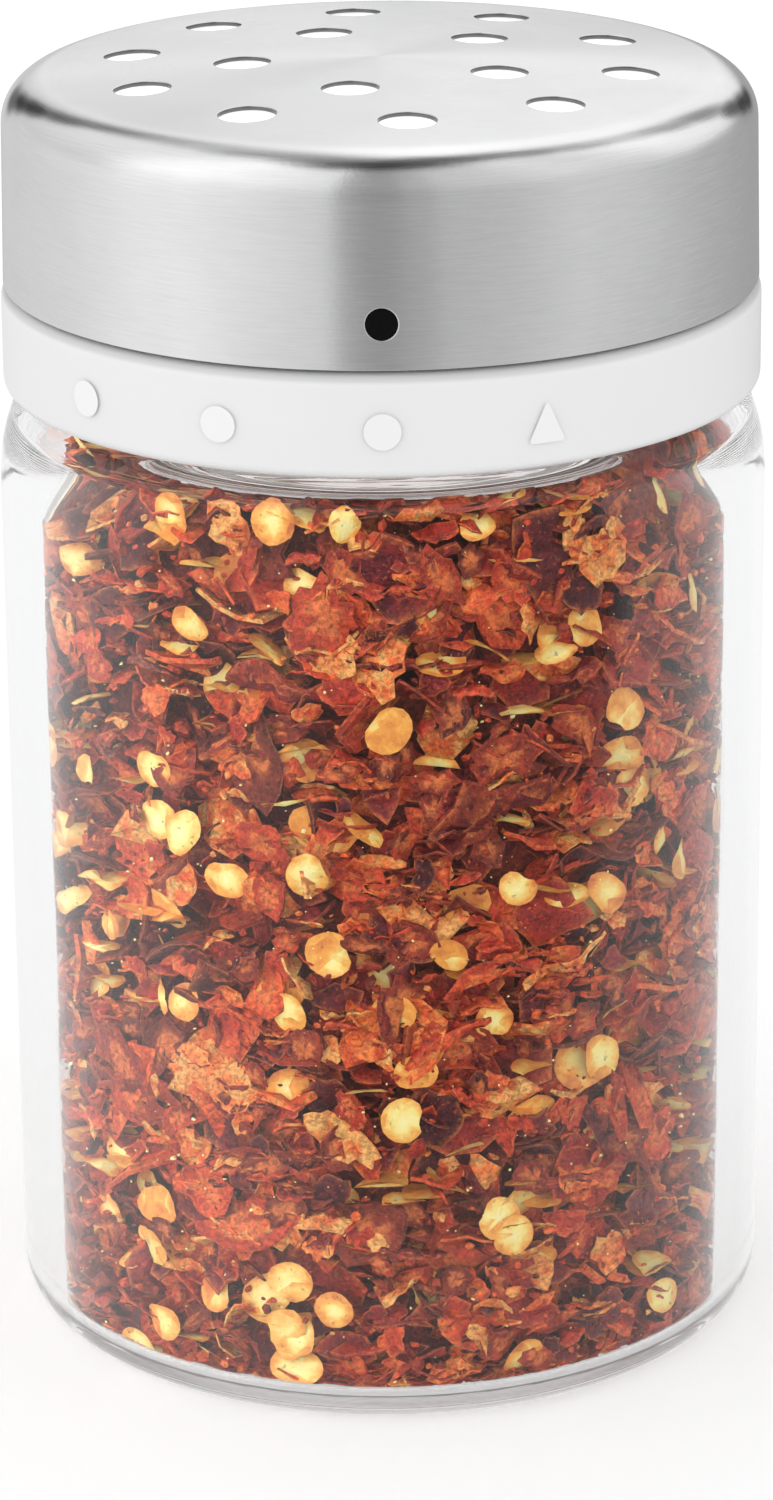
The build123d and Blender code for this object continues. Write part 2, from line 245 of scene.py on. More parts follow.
def rows(low, high, spacing):
    """Heights from low to high, both left out, about one spacing apart."""
    count = round((high - low) / spacing)
    return [low + (high - low) * step / count for step in range(1, count)]


def flat_mesh_of(name, shape):
    mesh = bpy.data.meshes.new(name)
    shape.to_mesh(mesh)
    shape.free()
    return mesh


def mesh_of(name, shape, sharp=math.radians(38)):
    """The mesh of a finished shape, smooth but for edges sharper than an angle."""
    mesh = flat_mesh_of(name, shape)
    mesh.shade_smooth()
    mesh.set_sharp_from_angle(angle=sharp)
    return mesh


def piece(name, mesh, body, material, replaced=()):
    """Show a mesh as a piece with a material, riding on a body, in place of the CAD nodes it hides."""
    shown = bpy.data.objects.new(name, mesh)
    bpy.context.scene.collection.objects.link(shown)
    mesh.materials.clear()
    mesh.materials.append(material)
    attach(shown, body)
    if replaced:
        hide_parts(*replaced)
    return shown


def merged_copy(node, body, material):
    """A smooth copy of a CAD node in its place."""
    shape = bmesh.new()
    shape.from_mesh(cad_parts[node].data)
    bmesh.ops.remove_doubles(shape, verts=shape.verts, dist=weld)
    return piece(f"{node}_smooth", mesh_of(node, shape, math.radians(25)), body, material, [node])


# Shader helpers


class Nodes:
    """Short calls that add nodes to one node tree and join their sockets."""

    def __init__(self, tree):
        self.tree = tree

    def feed(self, node, inputs):
        """Link or set a node's inputs, which go by name or number."""
        for socket, value in inputs.items():
            if isinstance(value, bpy.types.NodeSocket):
                self.tree.links.new(value, node.inputs[socket])
            else:
                node.inputs[socket].default_value = value

    def add(self, kind, inputs=None, **settings):
        node = self.tree.nodes.new(kind)
        for name, value in settings.items():
            setattr(node, name, value)
        self.feed(node, inputs or {})
        return node

    def math(self, operation, *values, clamp=False):
        node = self.add("ShaderNodeMath", dict(enumerate(values)), operation=operation, use_clamp=clamp)
        return node.outputs[0]

    def product(self, first, second):
        return self.math("MULTIPLY", first, second)

    def vector(self, operation, *values, result="Vector"):
        inputs = dict(enumerate(values))
        return self.add("ShaderNodeVectorMath", inputs, operation=operation).outputs[result]

    def ramp(self, factor, stops):
        node = self.add("ShaderNodeValToRGB", {"Fac": factor})
        elements = node.color_ramp.elements
        while len(elements) < len(stops):
            elements.new(1)
        for element, (position, colour) in zip(elements, stops):
            element.position = position
            element.color = (*colour, 1)
        return node.outputs["Color"]

    def span(self, value, low, high, to_low=0.0, to_high=1.0, smooth=False):
        """Map a value from one span to another, and keep it in there."""
        limits = {"Value": value, "From Min": low, "From Max": high, "To Min": to_low, "To Max": to_high}
        kind = "SMOOTHSTEP" if smooth else "LINEAR"
        return self.add("ShaderNodeMapRange", limits, interpolation_type=kind).outputs["Result"]

    def noise(self, vector, scale, detail=2.0, roughness=0.5, distortion=0.0):
        node = self.add("ShaderNodeTexNoise", {"Vector": vector, "Scale": scale, "Detail": detail})
        self.feed(node, {"Roughness": roughness, "Distortion": distortion})
        return node.outputs["Fac"]

    def blend(self, factor, first, second, kind="MIX"):
        inputs = {0: factor, 6: first, 7: second}
        return self.add("ShaderNodeMix", inputs, data_type="RGBA", blend_type=kind).outputs[2]

    def grey(self, value):
        return self.add("ShaderNodeCombineXYZ", {"X": value, "Y": value, "Z": value}).outputs[0]

    def times(self, colour, value):
        return self.blend(1.0, colour, self.grey(value), "MULTIPLY")

    def place(self):
        return self.add("ShaderNodeTexCoord").outputs["Object"]

    def split(self, vector):
        return self.add("ShaderNodeSeparateXYZ", {"Vector": vector}).outputs

    def attribute(self, name):
        return self.add("ShaderNodeAttribute", attribute_name=name).outputs["Fac"]

    def bump(self, height, distance, strength=1.0):
        inputs = {"Height": height, "Strength": strength, "Distance": distance}
        return self.add("ShaderNodeBump", inputs).outputs["Normal"]


def new_material(name):
    """A material with its node helper and its Principled shader."""
    material = bpy.data.materials.new(name)
    material.use_nodes = True
    nodes = Nodes(material.node_tree)
    return material, nodes, material.node_tree.nodes["Principled BSDF"]


def clear_glass():
    """Clear soda glass with a faint waviness from the mould."""
    material, nodes, shader = new_material("clear_glass")
    waves = nodes.noise(nodes.place(), 60, 1)
    nodes.feed(shader, {"Base Color": (0.968, 0.975, 0.974, 1), "Normal": nodes.bump(waves, 0.00004)})
    nodes.feed(shader, {"Transmission Weight": 1, "IOR": 1.5, "Roughness": 0})
    return material


def brushed_steel():
    """Stainless steel brushed round the axis, with fine streaks, faint cloudy patches and painted shade on
    the walls of the sprinkle holes.
    """
    material, nodes, shader = new_material("brushed_steel")
    place = nodes.place()
    height = nodes.split(place)["Z"]
    flat = nodes.vector("MULTIPLY", place, (1, 1, 0))
    radius = nodes.vector("LENGTH", flat, result="Value")
    x, y, _ = nodes.split(nodes.vector("NORMALIZE", flat))
    along = nodes.math("SUBTRACT", radius, height)
    brushed = nodes.add("ShaderNodeCombineXYZ", {"X": x, "Y": y, "Z": along}).outputs[0]
    streaks = nodes.noise(nodes.vector("MULTIPLY", brushed, (9, 9, 6500)), 1.0, 4, 0.7)
    patches = nodes.noise(place, 140, 3)
    tone = nodes.math("ADD", nodes.product(streaks, 0.6), nodes.product(patches, 0.4))
    colour = nodes.ramp(tone, [(0.3, (0.66, 0.66, 0.67)), (0.7, (0.76, 0.76, 0.765))])
    centre = steel_corners()[0]
    inward = nodes.math("SUBTRACT", centre.x, radius)
    below = nodes.math("SUBTRACT", centre.y, height)
    flatness = nodes.span(nodes.math("MAXIMUM", inward, below), -0.0025, 0.001, smooth=True)
    uneven = nodes.span(streaks, 0.2, 0.8, -0.03, 0.05)
    peel = nodes.product(nodes.noise(place, 2200, 3, 0.6), nodes.span(flatness, 0, 1, 1.2, 0.6))
    tangent = nodes.add("ShaderNodeTangent", direction_type="RADIAL", axis="Z").outputs["Tangent"]
    # Painted shade: the walls of the sprinkle holes are coloured dark grey
    colour = nodes.blend(nodes.attribute("painted_wall_shade"), colour, (0.17, 0.17, 0.175, 1))
    rough = nodes.math("ADD", nodes.span(flatness, 0, 1, 0.13, 0.24), uneven)
    relief = nodes.bump(nodes.math("ADD", streaks, peel), 0.000004)
    nodes.feed(shader, {"Base Color": colour, "Roughness": rough, "Normal": relief, "Tangent": tangent})
    nodes.feed(shader, {"Metallic": 1, "Anisotropic": 0.92, "Anisotropic Rotation": 0.25})
    return material


def plastic_grain():
    """A node group: faint clouds and grain of moulded plastic, and the mask of faces within the collar's bore
    that take a painted glow.
    """
    made = bpy.data.node_groups.get("plastic_grain")
    if made:
        return made
    group = bpy.data.node_groups.new("plastic_grain", "ShaderNodeTree")
    kinds = {"Colour": "Color", "Roughness": "Float", "Normal": "Vector", "Painted Glow Side": "Color"}
    for way, names in (("INPUT", ("Colour", "Roughness")), ("OUTPUT", kinds)):
        for name in names:
            group.interface.new_socket(name, in_out=way, socket_type=f"NodeSocket{kinds[name]}")
    nodes = Nodes(group)
    given = nodes.add("NodeGroupInput")
    place = nodes.place()
    grain = nodes.noise(place, 2500, 3)
    cloud = nodes.span(nodes.noise(place, 90, 2), 0.35, 0.65, 0.985, 1)
    flat = nodes.vector("MULTIPLY", place, (1, 1, 0))
    reach = nodes.vector("LENGTH", flat, result="Value")
    rougher = nodes.span(grain, 0.3, 0.7, 0.9, 1.1)
    results = {
        "Colour": nodes.times(given.outputs["Colour"], cloud),
        "Roughness": nodes.product(given.outputs["Roughness"], rougher),
        "Normal": nodes.bump(grain, 0.000003),
        "Painted Glow Side": nodes.grey(nodes.span(reach, collar_bore + 0.0002, collar_bore + 0.0001)),
    }
    nodes.add("NodeGroupOutput", results)
    return group


def white_plastic(name, colour, roughness, painted_glow=0.0, painted_edge_shade=False):
    """Moulded white plastic with a faint grain; faces within the collar's bore have a painted glow that
    stands in for light coming through the plastic.

    The collar's has painted shade: its rounded edge under the steel is greyer.
    """
    material, nodes, shader = new_material(name)
    grain = nodes.add("ShaderNodeGroup", node_tree=plastic_grain())
    nodes.feed(grain, {"Colour": (*colour, 1), "Roughness": roughness})
    colour, rough, relief, painted_glow_side = grain.outputs
    # Painted shade: grey the collar's colour towards its top, where the steel's edge shades it
    if painted_edge_shade:
        height = nodes.split(nodes.place())["Z"]
        limits = collar_top - painted_shade_depth, collar_top - painted_shade_depth / 2
        colour = nodes.times(colour, nodes.span(height, *limits, 1, painted_shade_grey, smooth=True))
    nodes.feed(shader, {"Base Color": colour, "Roughness": rough, "Normal": relief, "IOR": 1.47})
    # Painted glow: emission on the faces within the collar's bore, for light that comes through the plastic
    nodes.feed(shader, {"Emission Color": painted_glow_side, "Emission Strength": painted_glow})
    return material


def black_plastic():
    """Black plastic of the dot, with a faint grain."""
    material, nodes, shader = new_material("black_plastic")
    grain = nodes.noise(nodes.place(), 4000, 2)
    colour = nodes.ramp(grain, [(0.3, (0.002,) * 3), (0.7, (0.004,) * 3)])
    rough = nodes.span(grain, 0.3, 0.7, 0.5, 0.65)
    nodes.feed(shader, {"Base Color": colour, "Roughness": rough, "Specular IOR Level": 0.08})
    return material


def soft_seal():
    """Milky silicone of the soft rings."""
    material, nodes, shader = new_material("soft_silicone")
    cloud = nodes.noise(nodes.place(), 700, 2)
    colour = nodes.ramp(cloud, [(0.3, (0.72, 0.73, 0.72)), (0.7, (0.82, 0.83, 0.82))])
    nodes.feed(shader, {"Base Color": colour, "Roughness": nodes.span(cloud, 0.3, 0.7, 0.4, 0.5)})
    return material


# Pieces


def glass_outline():
    """Outline of the glass: foot, wall, shoulder and threaded neck, then back down inside."""
    corners = [
        (0, push_up, 0),
        (standing_ring_inner - 0.002, push_up, 0),
        (standing_ring_inner, 0, 0),
        (jar_radius, 0, base_outer_round),
        (jar_radius, shoulder_height, shoulder_round),
        (shoulder_edge_radius, shoulder_edge_height, shoulder_edge_round),
        (neck_radius, body_height, neck_root_round),
    ]
    heights = rows(body_height + 0.001, rim_height - 0.001, thread_row)
    corners += [(neck_radius, height, 0) for height in heights]
    corners += [
        (neck_radius, rim_height, rim_round),
        (neck_bore, rim_height, rim_round),
        (neck_bore, ceiling_height, inner_neck_round),
        (jar_bore, ceiling_height, inner_bend_round),
        (jar_bore, base_thickness, base_inner_round),
        (0, base_thickness, 0),
    ]
    return rounded(corners)


def make_glass():
    shape = turned(glass_outline())
    widths = thread_root_width, thread_crest_width
    raise_ridge(shape, neck_radius, thread_depth, thread_start_height, *widths)
    piece("glass_body", mesh_of("glass_body", shape), "jar", clear_glass(), ["glass_jar"])


def make_collar():
    """The collar with its sleeve, seat and inner thread, and its raised marks."""
    corners = [
        (collar_bore, collar_bottom, 0.0004),
        (collar_radius, collar_bottom, collar_foot_round),
        (collar_radius, collar_top, collar_top_round),
        (sleeve_radius, collar_top, 0),
        (sleeve_radius, hook_groove_low, 0),
        (hook_groove_radius, hook_groove_low, 0),
        (hook_groove_radius, hook_groove_high, 0),
        (sleeve_radius, hook_groove_high, 0),
        (sleeve_radius, sleeve_top, 0.0004),
        (sifter_bore, sleeve_top, 0),
        (sifter_bore, sifter_seat_height, 0),
        (seat_inner, sifter_seat_height, 0),
        (seat_inner, shelf_top, 0),
        (shelf_inner_radius, shelf_top, 0),
        (shelf_inner_radius, shelf_bottom, 0),
        (collar_bore, shelf_bottom, 0),
    ]
    heights = rows(collar_bottom + 0.0005, shelf_bottom - 0.0005, thread_row)
    corners += [(collar_bore, height, 0) for height in reversed(heights)]
    shape = turned(rounded(corners))
    widths = ridge_root_width, ridge_crest_width
    raise_ridge(shape, collar_bore, -thread_depth, ridge_start_height, *widths)
    mesh = mesh_of("collar_body", shape)
    # Painted glow of 0.16 on the collar's inner faces
    plastic = white_plastic("collar_plastic", (0.86, 0.86, 0.862), 0.32, 0.16, painted_edge_shade=True)
    piece("collar_body", mesh, "collar", plastic, ["threaded_collar"])
    # Painted highlight: the marks' plastic is lighter than the collar's, for the light on their raised faces
    plastic = white_plastic("mark_plastic_painted_light", (0.92,) * 3, 0.25)
    for step in range(3):
        mark = wrapped(raised_disc(), front_angle - mark_pitch * step)
        piece(f"round_mark_{step}", mesh_of("round_mark", mark), "collar", plastic)
    mark = wrapped(raised_triangle(), front_angle + mark_pitch)
    piece("triangle_mark", mesh_of("triangle_mark", mark), "collar", plastic)


def raised_disc():
    """A flat round mark with a soft edge, drawn in the plane of its face."""
    shape = bmesh.new()
    bmesh.ops.create_circle(shape, cap_ends=True, segments=48, radius=mark_dot_radius + mark_foot)
    return pillowed(shape)


def raised_triangle():
    """A flat triangular mark with a soft edge, its point up."""
    shape = bmesh.new()
    half = triangle_width / 2 + mark_foot
    foot = -triangle_height / 2 - mark_foot
    verts = [shape.verts.new(place) for place in ((-half, foot, 0), (half, foot, 0), (0, -foot, 0))]
    shape.faces.new(verts)
    bmesh.ops.bevel(
        shape, geom=verts, offset=triangle_corner * 2, segments=4, profile=0.5, affect="VERTICES", material=-1
    )
    return pillowed(shape)


def pillowed(shape):
    """Raise a flat outline from its foot to its face in three small steps."""
    top = next(iter(shape.faces))
    for share, rise in ((0.25, 0.2), (0.35, 0.62), (0.4, 0.18)):
        width = mark_foot * 2 * share
        bmesh.ops.inset_region(shape, faces=[top], thickness=width, depth=mark_relief * rise)
    return shape


def wrapped(shape, angle):
    """Lay a flat shape, whose Z is its relief, round the collar's band at an angle."""
    for vert in shape.verts:
        turn = angle + vert.co.x / collar_radius
        vert.co = polar(collar_radius + vert.co.z, turn, mark_height + vert.co.y)
    bmesh.ops.recalc_face_normals(shape, faces=shape.faces)
    return shape


def crown_height(radius):
    """Height of the cap's dome at a distance from the axis."""
    return crown_centre + math.sqrt(crown_radius**2 - radius**2)


def steel_corners():
    """Centre of the cap's corner arc, where the crown meets it, and where the skirt does."""
    slope = cap_taper / (crown_top - cap_bottom)
    drop = crown_radius - cap_corner_round
    side = cap_radius - cap_corner_round * math.hypot(1, slope)
    centre = Vector((side - slope * (crown_top - cap_corner_round - cap_bottom), 0))
    centre.y = crown_centre + math.sqrt(drop**2 - centre.x**2)
    centre.x = side - slope * (centre.y - cap_bottom)
    crown_turn = math.atan2(centre.y - crown_centre, centre.x)
    skirt_turn = math.atan(slope)
    return centre, crown_turn, skirt_turn


def steel_outline():
    """The cap's outer outline from the crown's edge down to the lower edge of the skirt."""
    centre, crown_turn, skirt_turn = steel_corners()
    steps = math.ceil((crown_turn - skirt_turn) / arc_step) * 2
    points = []
    for step in range(steps + 1):
        turn = crown_turn + (skirt_turn - crown_turn) * step / steps
        points.append(centre + cap_corner_round * Vector((math.cos(turn), math.sin(turn))))
    skirt_top = points[-1]
    for height in (dot_height + dot_window, dot_height - dot_window, cap_bottom):
        share = (skirt_top.y - height) / (skirt_top.y - cap_bottom)
        points.append(Vector((skirt_top.x + (cap_radius - skirt_top.x) * share, height)))
    return points


def steel_normal(place):
    """The direction that the cap's outer face looks in at a place on it."""
    centre, crown_turn, skirt_turn = steel_corners()
    radius = radius_of(place)
    turn = math.atan2(place.z - centre.y, radius - centre.x)
    if radius < centre.x + cap_corner_round * math.cos(crown_turn):
        turn = math.atan2(place.z - crown_centre, radius)
    turn = max(turn, skirt_turn)
    if radius < weld:
        return Vector((0, 0, 1))
    level = math.cos(turn) / radius
    return Vector((place.x * level, place.y * level, math.sin(turn)))


def ring_places(radius, count, first_angle):
    """Centres of holes spaced evenly on a ring, at the height of the crown."""
    return [polar(radius, first_angle + math.tau * step / count, crown_top) for step in range(count)]


def fill_crown(shape, edge_radius):
    """Close the cap's open top with a dome that leaves the sprinkle holes open."""
    reach = edge_radius + weld
    fill = [edge for edge in shape.edges if all(radius_of(vert.co) < reach for vert in edge.verts)]
    places = ring_places(outer_ring_radius, outer_hole_count, first_outer_angle)
    places += ring_places(inner_ring_radius, inner_hole_count, first_inner_angle)
    for place in places:
        matrix = Matrix.Translation(place)
        made = bmesh.ops.create_circle(shape, segments=hole_corners, radius=hole_radius, matrix=matrix)
        fill += {edge for vert in made["verts"] for edge in vert.link_edges}
    bmesh.ops.triangle_fill(shape, use_beauty=True, edges=fill, normal=(0, 0, 1))
    for _ in range(2):
        crown = {vert for vert in shape.verts if radius_of(vert.co) < reach}
        inner = {vert for vert in crown if radius_of(vert.co) < edge_radius - weld}
        long = [edge for edge in shape.edges if edge.calc_length() > crown_line]
        long = [edge for edge in long if crown.issuperset(edge.verts) and inner & set(edge.verts)]
        bmesh.ops.subdivide_edges(shape, edges=long, cuts=1, use_grid_fill=False)
        bmesh.ops.triangulate(shape, faces=[face for face in shape.faces if len(face.verts) > 4])
    for vert in shape.verts:
        if radius_of(vert.co) < edge_radius - weld:
            vert.co.z = crown_height(radius_of(vert.co))


def make_steel_cap():
    """The pressed steel shell with its sprinkle holes and the hole for the dot."""
    outline = steel_outline()
    shape = turned(outline, closed=False)
    edge_radius = outline[0].x
    fill_crown(shape, edge_radius)
    cut_dot_hole(shape)
    bmesh.ops.recalc_face_normals(shape, faces=shape.faces)
    bmesh.ops.solidify(shape, geom=shape.faces, thickness=cap_sheet)
    rims = [edge for edge in shape.edges if is_rim(edge)]
    dot_rims = [edge for edge in rims if abs(edge.verts[0].co.z - dot_height) < dot_window]
    other_rims = [edge for edge in rims if edge not in dot_rims]
    for group, offset in ((dot_rims, dot_edge_round), (other_rims, edge_round)):
        bmesh.ops.bevel(
            shape, geom=group, offset=offset, segments=2, profile=0.5, affect="EDGES", material=-1
        )
    mesh = mesh_of("steel_shell", shape, math.radians(40))
    # Faces of the sprinkle holes' walls, which get the painted shade
    walls = [abs(face.normal.z) < 0.3 and radius_of(face.center) < edge_radius for face in mesh.polygons]
    mesh.attributes.new("painted_wall_shade", "FLOAT", "FACE").data.foreach_set("value", np.array(walls, np.float32))
    set_steel_normals(mesh)
    piece("steel_shell", mesh, "cap", brushed_steel(), ["steel_cap"])


def is_rim(edge):
    """Whether an edge bounds a hole or the skirt: one of its faces is a wall of the sheet's thickness."""
    if len(edge.link_faces) != 2:
        return False
    first, second = edge.link_faces
    return first.normal.angle(second.normal) > math.radians(70)


def cut_dot_hole(shape):
    """Cut the round hole for the black dot in the front of the skirt."""
    middles = {face: face.calc_center_median() for face in shape.faces}
    strip = [face for face, middle in middles.items() if middle.y < 0 and abs(middle.x) < dot_window]
    window = [face for face in strip if abs(middles[face].z - dot_height) < dot_window]
    bmesh.ops.delete(shape, geom=window, context="FACES")
    border = [edge for edge in shape.edges if edge.is_boundary]
    border = [edge for edge in border if abs(edge.verts[0].co.z - dot_height) < dot_window * 1.1]
    made = bmesh.ops.create_circle(shape, segments=hole_corners, radius=dot_hole_radius)
    slope = cap_taper / (crown_top - cap_bottom)
    for vert in made["verts"]:
        height = dot_height + vert.co.y
        reach = cap_radius - slope * (height - cap_bottom)
        vert.co = polar(reach, front_angle + vert.co.x / reach, height)
    circle = {edge for vert in made["verts"] for edge in vert.link_edges}
    bmesh.ops.bridge_loops(shape, edges=border + list(circle))


def set_steel_normals(mesh):
    """Give the cap's outer face the exact directions of its dome, corner and skirt."""
    directions = [Vector(normal.vector) for normal in mesh.corner_normals]
    for polygon in mesh.polygons:
        for loop_index in polygon.loop_indices:
            exact = steel_normal(mesh.vertices[mesh.loops[loop_index].vertex_index].co)
            if polygon.normal.dot(exact) > 0.97:
                directions[loop_index] = exact
    mesh.normals_split_custom_set(directions)


# Chilli flakes


def torn_flake(width, corners=10):
    """A torn scrap of dried skin about two units long: bent, twisted and wrinkled, skin side up."""
    shape = bmesh.new()
    bmesh.ops.create_circle(shape, cap_ends=True, segments=corners, radius=1)
    lobes = Vector((chance.uniform(0, 90), chance.uniform(0, 90), 0))
    for vert in shape.verts:
        vert.co *= 0.86 + 0.42 * noise.noise(vert.co * 1.6 + lobes) + chance.uniform(-0.11, 0.11)
        vert.co.y *= width
    bmesh.ops.poke(shape, faces=shape.faces)
    spokes = [edge for edge in shape.edges if not edge.is_boundary]
    bmesh.ops.subdivide_edges(shape, edges=spokes, cuts=1)
    curl = chance.uniform(-0.55, 0.55)
    roll = chance.uniform(-0.4, 0.4) / width
    twist = chance.uniform(-0.4, 0.4)
    for vert in shape.verts:
        place = vert.co
        wrinkle = 0.2 * noise.noise(place * 2.2 + lobes)
        vert.co.z = curl * place.x**2 + roll * place.y**2 + twist * place.x * place.y + wrinkle
    for vert in shape.verts:
        if not vert.is_boundary:
            vert.co += Vector([chance.uniform(-0.07, 0.07) for _ in range(3)])
    rim = {vert.index for vert in shape.verts if vert.is_boundary}
    return thickened(shape, chance.uniform(0.05, 0.1), rim)


def thickened(shape, thickness, rim):
    """Give a scrap its thickness; returns its mesh, and for each vert whether it is skin and rim."""
    count = len(shape.verts)
    bmesh.ops.recalc_face_normals(shape, faces=shape.faces)
    bmesh.ops.solidify(shape, geom=shape.faces[:], thickness=thickness)
    mesh = mesh_of("scrap", shape, math.radians(50))
    order = range(len(mesh.vertices))
    skin = np.array([index < count for index in order], np.float32)
    edge = np.array([index % count in rim for index in order], np.float32)
    return mesh, skin, edge


def chilli_seed():
    """A flat kidney-shaped seed two units wide, with a thick rim, a dent and a notch."""
    shape = bmesh.new()
    bmesh.ops.create_circle(shape, cap_ends=True, segments=18, radius=1)
    long = chance.uniform(1.0, 1.22)
    notch = chance.uniform(0.05, 0.34)
    for vert in shape.verts:
        turn = math.atan2(vert.co.y, vert.co.x)
        reach = 1 - notch * math.exp(-((turn / 0.45) ** 2)) + chance.uniform(-0.03, 0.03)
        vert.co = Vector((vert.co.x * reach, vert.co.y * reach * long, 0))
    top = next(iter(shape.faces))
    for thickness, depth in ((0.05, 0.17), (0.1, 0.04), (0.2, -0.07)):
        bmesh.ops.inset_region(shape, faces=[top], thickness=thickness, depth=depth)
    bmesh.ops.poke(shape, faces=[top])
    bmesh.ops.contextual_create(shape, geom=[edge for edge in shape.edges if edge.is_boundary])
    bmesh.ops.recalc_face_normals(shape, faces=shape.faces)
    bend = chance.uniform(-0.2, 0.2)
    for vert in shape.verts:
        vert.co.z += bend * vert.co.y**2 + 0.1 * noise.noise(vert.co * 1.7 + Vector((long * 90, 0, 0)))
    mesh = mesh_of("seed", shape, math.radians(45))
    reach = np.array([math.hypot(vert.co.x, vert.co.y / long) for vert in mesh.vertices], np.float32)
    return mesh, np.ones(len(reach), np.float32), np.clip((reach - 0.55) / 0.35, 0, 1)


def crumb():
    """A small broken bit about two units across."""
    shape = bmesh.new()
    bmesh.ops.create_icosphere(shape, subdivisions=1, radius=1)
    for vert in shape.verts:
        vert.co *= chance.uniform(0.6, 1.2)
        vert.co.z *= 0.55
    mesh = flat_mesh_of("crumb", shape)
    neither = np.zeros(len(mesh.vertices), np.float32)
    return mesh, neither, neither


def wall_reach(height):
    """How far out the flakes reach at a height, inside the glass."""
    reach = jar_bore - fill_gap
    low = base_thickness + fill_gap + base_inner_round
    high = ceiling_height - fill_gap - inner_bend_round
    off = max(low - height, 0) / base_inner_round
    if height > high:
        off = (height - high) / inner_bend_round
    return reach - base_inner_round * (1 - math.sqrt(max(1 - min(off, 1) ** 2, 0)))


def facing(direction, spread):
    """A turn that points a scrap's skin side in a direction, give or take some degrees, spun at random."""
    tilt = math.radians(abs(chance.gauss(0, spread)))
    lean = Vector([chance.gauss(0, 1) for _ in range(3)]).normalized() * math.tan(tilt)
    spin = Matrix.Rotation(chance.uniform(0, math.tau), 3, "Z")
    return (direction + lean).to_track_quat("Z", "Y").to_matrix() @ spin


def pile_drop(angle):
    """How much lower the fill's top lies at an angle round the jar, shaken down on one side."""
    off = math.remainder(angle - pile_side, math.tau)
    return pile_depth * math.exp(-((off / pile_width) ** 2))


def wall_places(count, depths, size, facing_share, clear_of=(), spread=0.38, room=0.42):
    """Places between two depths behind the glass, where scraps face out or lie flat.

    Most of those that would hide one of clear_of are left out; room is how near they may come to it.
    """
    places = []
    low = base_thickness + 0.0005
    high = ceiling_height - 0.0006
    for _ in range(count):
        angle = chance.uniform(0, math.tau)
        height = chance.uniform(low, high)
        if height > high - pile_drop(angle):
            continue
        spot = polar(wall_reach(height) - chance.uniform(*depths), angle, height)
        length = size * math.exp(chance.gauss(0, spread))
        hides = any((spot - other).length < room * (reach_of + length) for other, _, reach_of in clear_of)
        if hides and chance.random() < 0.93:
            continue
        if chance.random() < facing_share:
            direction = Vector((spot.x, spot.y, 0)).normalized() * chance.choice((1, 1, -1))
            turn = facing(direction, 26)
        else:
            turn = facing(Vector((0, 0, chance.choice((1, -1)))), 30)
        places.append((spot, turn, length))
    return places


def level_places(count, low, high, size, inner_share=0.0):
    """Places in a flat layer across the jar, or in a ring of it, where scraps lie flat."""
    places = []
    for _ in range(count):
        height = chance.uniform(low, high)
        share = math.sqrt(chance.uniform(inner_share, 1))
        reach = (wall_reach(height) - 0.0006) * share
        angle = chance.uniform(0, math.tau)
        if height > jar_radius:
            height -= pile_drop(angle) * share**4
        turn = facing(Vector((0, 0, chance.choice((1, -1)))), 24)
        places.append((polar(reach, angle, height), turn, size * math.exp(chance.gauss(0, 0.3))))
    return places


def scattered(name, kinds, places, material):
    """One piece of many scraps: a copy of a random kind at each place, kept inside the glass."""
    gathered = bmesh.new()
    numbers = []
    for spot, turn, length in places:
        base, skin, edge = chance.choice(kinds)
        copy = base.copy()
        copy.transform(Matrix.Translation(spot) @ turn.to_4x4() @ Matrix.Scale(length / 2, 4))
        gathered.from_mesh(copy)
        bpy.data.meshes.remove(copy)
        tint, shift = (np.full(len(skin), chance.random(), np.float32) for _ in range(2))
        numbers.append((tint, shift, skin, edge))
    mesh = flat_mesh_of(name, gathered)
    store(mesh, *map(np.concatenate, zip(*numbers)))
    keep_inside(mesh)
    return piece(name, mesh, "jar", material)


def store(mesh, *values):
    """Keep the numbers that colour each vert: two random ones, and whether it is skin and edge."""
    for name, numbers in zip(("tint", "shift", "skin", "edge"), values):
        mesh.attributes.new(name, "FLOAT", "POINT").data.foreach_set("value", numbers)


def keep_inside(mesh):
    """Press what would stick through the glass flat against it."""
    places = np.empty(len(mesh.vertices) * 3, np.float32)
    mesh.vertices.foreach_get("co", places)
    places = places.reshape(-1, 3)
    places[:, 2] = np.clip(places[:, 2], base_thickness + fill_gap, ceiling_height - fill_gap)
    reach = np.hypot(places[:, 0], places[:, 1])
    limit = np.array([wall_reach(height) for height in places[:, 2]])
    places[:, :2] *= np.minimum(1, limit / np.maximum(reach, 1e-9))[:, None]
    mesh.vertices.foreach_set("co", places.ravel())
    mesh.update()


